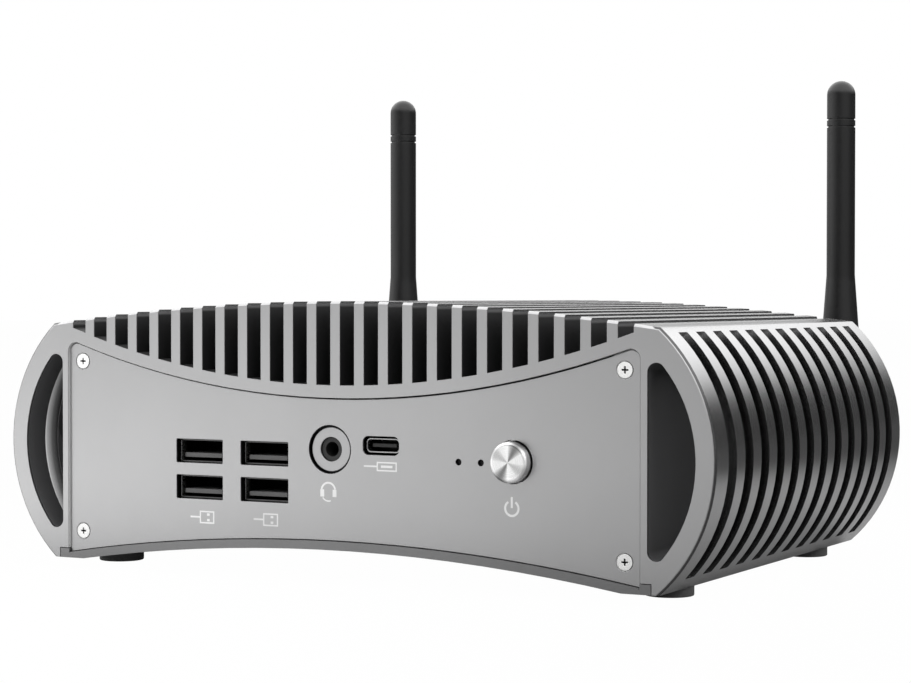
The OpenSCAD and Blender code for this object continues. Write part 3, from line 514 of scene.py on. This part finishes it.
def spun_metal(centre):
    """Metal turned on a lathe: fine rings, and two pairs of wedges of painted highlight and painted shade
    round the button's axis.
    """
    kit = Shader("spun_metal", 0.3, 1.0, (0.93, 0.93, 0.93))
    x, _, z = kit.split(kit.place())
    across, up = kit.minus(x, centre.x), kit.minus(z, centre.z)
    rings = kit.new("ShaderNodeTexNoise")
    rings.noise_dimensions = "1D"
    rings.inputs["Scale"].default_value = RINGS
    rings.inputs["Detail"].default_value = 3
    kit.link(kit.length(across, up), rings.inputs["W"])
    kit.feed("Roughness", kit.remap(rings.outputs["Fac"], *NOISE_FROM, 0.26, 0.36))
    kit.bump(rings.outputs["Fac"], 0.006 * MM)
    kit.set("Anisotropic", 0.9)
    # painted highlight and painted shade in wedges, by the angle round the button's axis
    turn = kit.minus(kit.math("ARCTAN2", up, across), PAINTED_WEDGE_TURN)
    painted_wedges = kit.math("COSINE", kit.times(turn, 2.0))
    kit.feed("Base Color", kit.ramp(kit.remap(painted_wedges, -1, 1), PAINTED_WEDGE_TONES))
    along = kit.new("ShaderNodeCombineXYZ")
    kit.link(kit.times(up, -1.0), along.inputs["X"])
    kit.link(across, along.inputs["Z"])
    kit.feed("Tangent", along.outputs[0])
    return kit


def lens_plastic():
    """Dark clear plastic over the lamps."""
    kit = Shader("lens_plastic", 0.3, 0.0, (0.008, 0.008, 0.009))
    kit.set("Specular IOR Level", 0.2)
    kit.feed("Roughness", kit.remap(kit.noise(500), *NOISE_FROM, 0.3, 0.4))
    return kit


def make_materials():
    """A material for each slot of the record and each finish of FINISH."""
    cap_low, cap_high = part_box("power_button_cap")
    screw_heads = plated("screw_plated", (0.97, 0.97, 0.96), 0.5)
    slim_shell = plated("slim_shell", (0.42, 0.42, 0.42), 0.3)
    antenna_black = (0.005, 0.005, 0.0053)
    kits = {
        "anodised_body": finned_chassis(),
        "anodised_panel": panel_finish(),
        "cover_metal": anodised("cover_anodised", COVER, 0.40),
        "bright_metal": shaded(plated("bright_plated", STEEL), 1.9 * MM, 3.4 * MM),
        "spun_metal": spun_metal((cap_low + cap_high) / 2),
        "dark_screw": plated("blackened_steel", (0.12, 0.12, 0.125), 0.34),
        "screw_heads": shaded(screw_heads, 0.15 * MM, 0.5 * MM),
        "jack_ring": anodised("jack_ring", JACK_RING),
        "port_shell": port_shell(),
        "slim_shell": shaded(slim_shell, 2.2 * MM, 3.5 * MM),
        "rubber": moulded("foot_rubber", (0.08, 0.08, 0.08), 0.75, 1800, 0.04 * MM),
        "black_plastic": moulded("black_plastic", (0.014, 0.014, 0.014), 0.45),
        "antenna_plastic": moulded("antenna_plastic", antenna_black, 0.33, 2400, 0.01 * MM),
        "grey_plastic": moulded("grey_plastic", (0.10, 0.10, 0.10), 0.45),
        "blue_plastic": moulded("blue_plastic", (0.02, 0.07, 0.32), 0.4),
        "circuit_board": circuit_board(),
        "brass_plated": plated("gold_plated", (0.78, 0.58, 0.26), 0.25),
        "clear_plastic": lens_plastic(),
        "pad_grey": moulded("thermal_pad_grey", (0.35, 0.35, 0.38), 0.8),
        "ink": moulded("white_ink", (0.75, 0.75, 0.75), 0.5, 3000, 0.002 * MM),
    }
    return {slot: kit.material for slot, kit in kits.items()}


# ==== pieces ====

SLOT_OF = {part["node"]: part["material_slot"] for part in RECORD["subparts"]}
BODY_OF = {node: body for body, nodes in RECORD["behaviour"]["bodies"].items() for node in nodes}
FINISH = {                         # nodes whose finish differs from their slot's
    "front_panel_screws": "screw_heads", "rear_panel_screws": "screw_heads",
    "headset_jack_nut": "jack_ring", "usb_c_shell": "slim_shell",
    "front_usb_shells": "port_shell", "rear_usb_shells": "port_shell",
}
# The radius of the rounded edges, in millimetres. The smallest facets of the chassis hold
# its own down to about 0.02.
SOFT_EDGES = {
    "chassis": 0.12, "front_panel": 0.12, "rear_panel": 0.12, "bottom_cover": 0.15,
    "front_panel_screws": 0.2, "rear_panel_screws": 0.2, "cover_screws": 0.2, "feet": 0.3,
    "power_button_cap": 0.1, "headset_jack": 0.1, "headset_jack_nut": 0.15,
    "front_usb_shells": 0.05, "rear_usb_shells": 0.08, "usb_c_shell": 0.06, "usb_c_tongue": 0.1,
    "front_usb_tongues": 0.12, "rear_usb_tongues": 0.12, "lan_jacks": 0.12, "dc_jack": 0.2,
    "dc_jack_pin": 0.2, "display_shells": 0.08, "display_tongues": 0.1,
    "antenna_jacks": 0.12, "antenna_jack_nuts": 0.2, "antenna_coupling_nuts": 0.15,
    "left_antenna_base": 0.3, "right_antenna_base": 0.3, "left_antenna_pin": 0.2,
    "right_antenna_pin": 0.2, "left_antenna_whip": 0.2, "right_antenna_whip": 0.2,
}
MERGE = 0.002 * MM                 # points closer than this are one
FLAT = math.radians(0.05)          # faces that count as one differ by less
SHARP = math.radians(35)           # edges that are rounded turn by more
ON_ARC = 0.05 * MM                 # how far off a side arc a point still counts as on it
ALONG_ARC = math.cos(math.radians(5))


def new_piece(name, bm, material, body, slot):
    """A mesh object that rides on a body and takes a finish."""
    mesh = bpy.data.meshes.new(name)
    bm.to_mesh(mesh)
    bm.free()
    piece = bpy.data.objects.new(name, mesh)
    bpy.context.scene.collection.objects.link(piece)
    mesh.materials.append(MATERIALS[material])
    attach(piece, body)
    return piece


def out_of_side(point):
    """The vector from a side arc's centre line to a point, and whether the point is on the arc."""
    out = Vector((point.x - math.copysign(SIDE_CX, point.x), 0, point.z - SIDE_CZ))
    return out, abs(point.x) > SLOTS_X and abs(out.length - SIDE_R) < ON_ARC


def even_side_facets(bm):
    """Turns the slanting edges between the facets of the side arcs straight."""
    faces = [face for face in bm.faces if all(out_of_side(vert.co)[1] for vert in face.verts)]
    inside = set(faces)
    # in the mesh's own order, so that each run turns the same edges
    edges = [edge for edge in bm.edges if edge.link_faces and inside.issuperset(edge.link_faces)]
    bmesh.ops.beautify_fill(bm, faces=faces, edges=edges, method="ANGLE")


def smooth_sides(piece):
    """Shades the facets of the chassis's side arcs as the true arcs."""
    graph = bpy.context.evaluated_depsgraph_get()
    mesh = bpy.data.meshes.new_from_object(piece.evaluated_get(graph))
    normals = [corner.vector.copy() for corner in mesh.corner_normals]
    for face in mesh.polygons:
        for i in face.loop_indices:
            out, on_arc = out_of_side(mesh.vertices[mesh.loops[i].vertex_index].co)
            if on_arc and face.normal.dot(out.normalized()) > ALONG_ARC:
                normals[i] = out.normalized()
    mesh.normals_split_custom_set(normals)
    piece.modifiers.clear()
    piece.data = mesh


def soften(node, radius):
    """A copy of a CAD node with its sharp edges rounded stands for the node."""
    bm = bmesh.new()
    bm.from_mesh(NODES[node].data)
    bmesh.ops.remove_doubles(bm, verts=bm.verts, dist=MERGE)
    if node == "chassis":
        even_side_facets(bm)
    bmesh.ops.dissolve_limit(bm, angle_limit=FLAT, verts=bm.verts, edges=bm.edges, delimit={"NORMAL"})
    for face in bm.faces:
        face.smooth = True
    slot = SLOT_OF[node]
    piece = new_piece(node + "_soft", bm, FINISH.get(node, slot), BODY_OF[node], slot)
    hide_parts(node)
    edges = piece.modifiers.new("edges", "BEVEL")
    edges.width = radius
    edges.segments = 2
    edges.limit_method = "ANGLE"
    edges.angle_limit = SHARP
    edges.miter_outer = "MITER_SHARP"
    normals = piece.modifiers.new("normals", "WEIGHTED_NORMAL")
    normals.mode = "FACE_AREA_WITH_ANGLE"
    normals.weight = 100
    if node == "chassis":
        smooth_sides(piece)


def add_spring():
    """A copy of the power button's spring, which stands for the CAD node."""
    node, joint = "power_button_spring", "power_button_press"
    bm = bmesh.new()
    bm.from_mesh(NODES[node].data)
    spring = new_piece(node + "_coil", bm, SLOT_OF[node], BODY_OF[node], SLOT_OF[node])
    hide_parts(node)
    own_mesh(spring)


def prism(bm, outline, low_y, high_y):
    """A closed prism over an outline of (x, z) points, from one depth to another."""
    near = [bm.verts.new((x, low_y, z)) for x, z in outline]
    far = [bm.verts.new((x, high_y, z)) for x, z in outline]
    bm.faces.new(near)
    bm.faces.new(list(reversed(far)))
    for i, vert in enumerate(near):
        j = (i + 1) % len(near)
        bm.faces.new((near[j], vert, far[i], far[j]))


class Print:
    """Generic signs printed on the front panel, drawn in millimetres round a centre."""

    PROUD = 0.02 * MM

    def __init__(self):
        self.bm = bmesh.new()
        self.centre = (0.0, 0.0)

    def at(self, x, z):
        """Draws round this point, in metres, from now on."""
        self.centre = (x, z)

    def shape(self, points):
        x0, z0 = self.centre
        outline = [(x0 + x * MM, z0 + z * MM) for x, z in points]
        prism(self.bm, outline, PANEL_Y - self.PROUD, PANEL_Y + self.PROUD)

    def bar(self, x, z, wide, high):
        a, b = wide / 2, high / 2
        self.shape([(x - a, z - b), (x + a, z - b), (x + a, z + b), (x - a, z + b)])

    def arc(self, x, z, radius, width, start, end, steps=24):
        """Part of a ring, from one angle to another in degrees."""
        turns = [math.radians(start + (end - start) * i / steps) for i in range(steps + 1)]
        outer, inner = radius + width / 2, radius - width / 2
        for a, b in zip(turns, turns[1:]):
            rim = [(outer, a), (outer, b), (inner, b), (inner, a)]
            self.shape([(x + r * math.cos(t), z + r * math.sin(t)) for r, t in rim])

    def hollow_bar(self, x, z, wide, high, line):
        for side in (-1, 1):
            self.bar(x, z + side * (high - line) / 2, wide, line)
            self.bar(x + side * (wide - line) / 2, z, line, high - 2 * line)

    def plug(self):
        """A plug with two holes and its lead."""
        self.hollow_bar(1.3, 0, 4.4, 3.2, 0.38)
        for side in (-1, 1):
            self.bar(1.7, side * 0.7, 0.8, 0.6)
        self.bar(-2.3, 0, 2.8, 0.45)

    def slim_plug(self):
        """A slim plug with its tongue and its lead."""
        self.hollow_bar(1.6, 0, 5.6, 2.3, 0.36)
        self.bar(1.6, 0, 3.2, 0.6)
        self.bar(-3.0, 0, 3.6, 0.42)

    def headset(self):
        self.arc(0, 0, 1.95, 0.5, 10, 170)
        for side in (-1, 1):
            self.bar(side * 1.75, -0.6, 1.1, 1.8)
        self.arc(0, -0.6, 1.95, 0.35, 215, 290, 12)

    def power(self):
        self.arc(0, -0.4, 1.75, 0.55, 122, 418)
        self.bar(0, 1.0, 0.55, 2.6)


# millimetres to the right of, and down from, the flat ports' lower left corner
STACK_SIGNS = ((7.86, 3.2), (26.76, 3.0))
# millimetres to the right of, and down from, the middle of a part
HEADSET_SIGN = (-0.4, 10.1)
SLIM_SIGN = (0.05, 5.0)
POWER_SIGN = (-0.25, 10.5)


def add_print():
    """A sign under each stack of flat ports, the headset socket, the slim port and the button."""
    ink = Print()
    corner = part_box("front_usb_shells")[0]
    for right, down in STACK_SIGNS:
        ink.at(corner.x + right * MM, corner.z - down * MM)
        ink.plug()
    signs = {
        "headset_jack_nut": (ink.headset, HEADSET_SIGN),
        "usb_c_shell": (ink.slim_plug, SLIM_SIGN),
        "power_button_cap": (ink.power, POWER_SIGN),
    }
    for node, (draw, (right, down)) in signs.items():
        low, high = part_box(node)
        ink.at((low.x + high.x) / 2 + right * MM, (low.z + high.z) / 2 - down * MM)
        draw()
    new_piece("front_print", ink.bm, "ink", "case", "anodised_panel")


MATERIALS = make_materials()
for node_name, node in NODES.items():
    node.data.materials.clear()
    node.data.materials.append(MATERIALS[SLOT_OF[node_name]])
for node_name, radius in SOFT_EDGES.items():
    soften(node_name, radius * MM)
add_spring()
add_print()
add_camera()
add_world()
add_floor()
bpy.context.scene.view_settings.view_transform = "Standard"
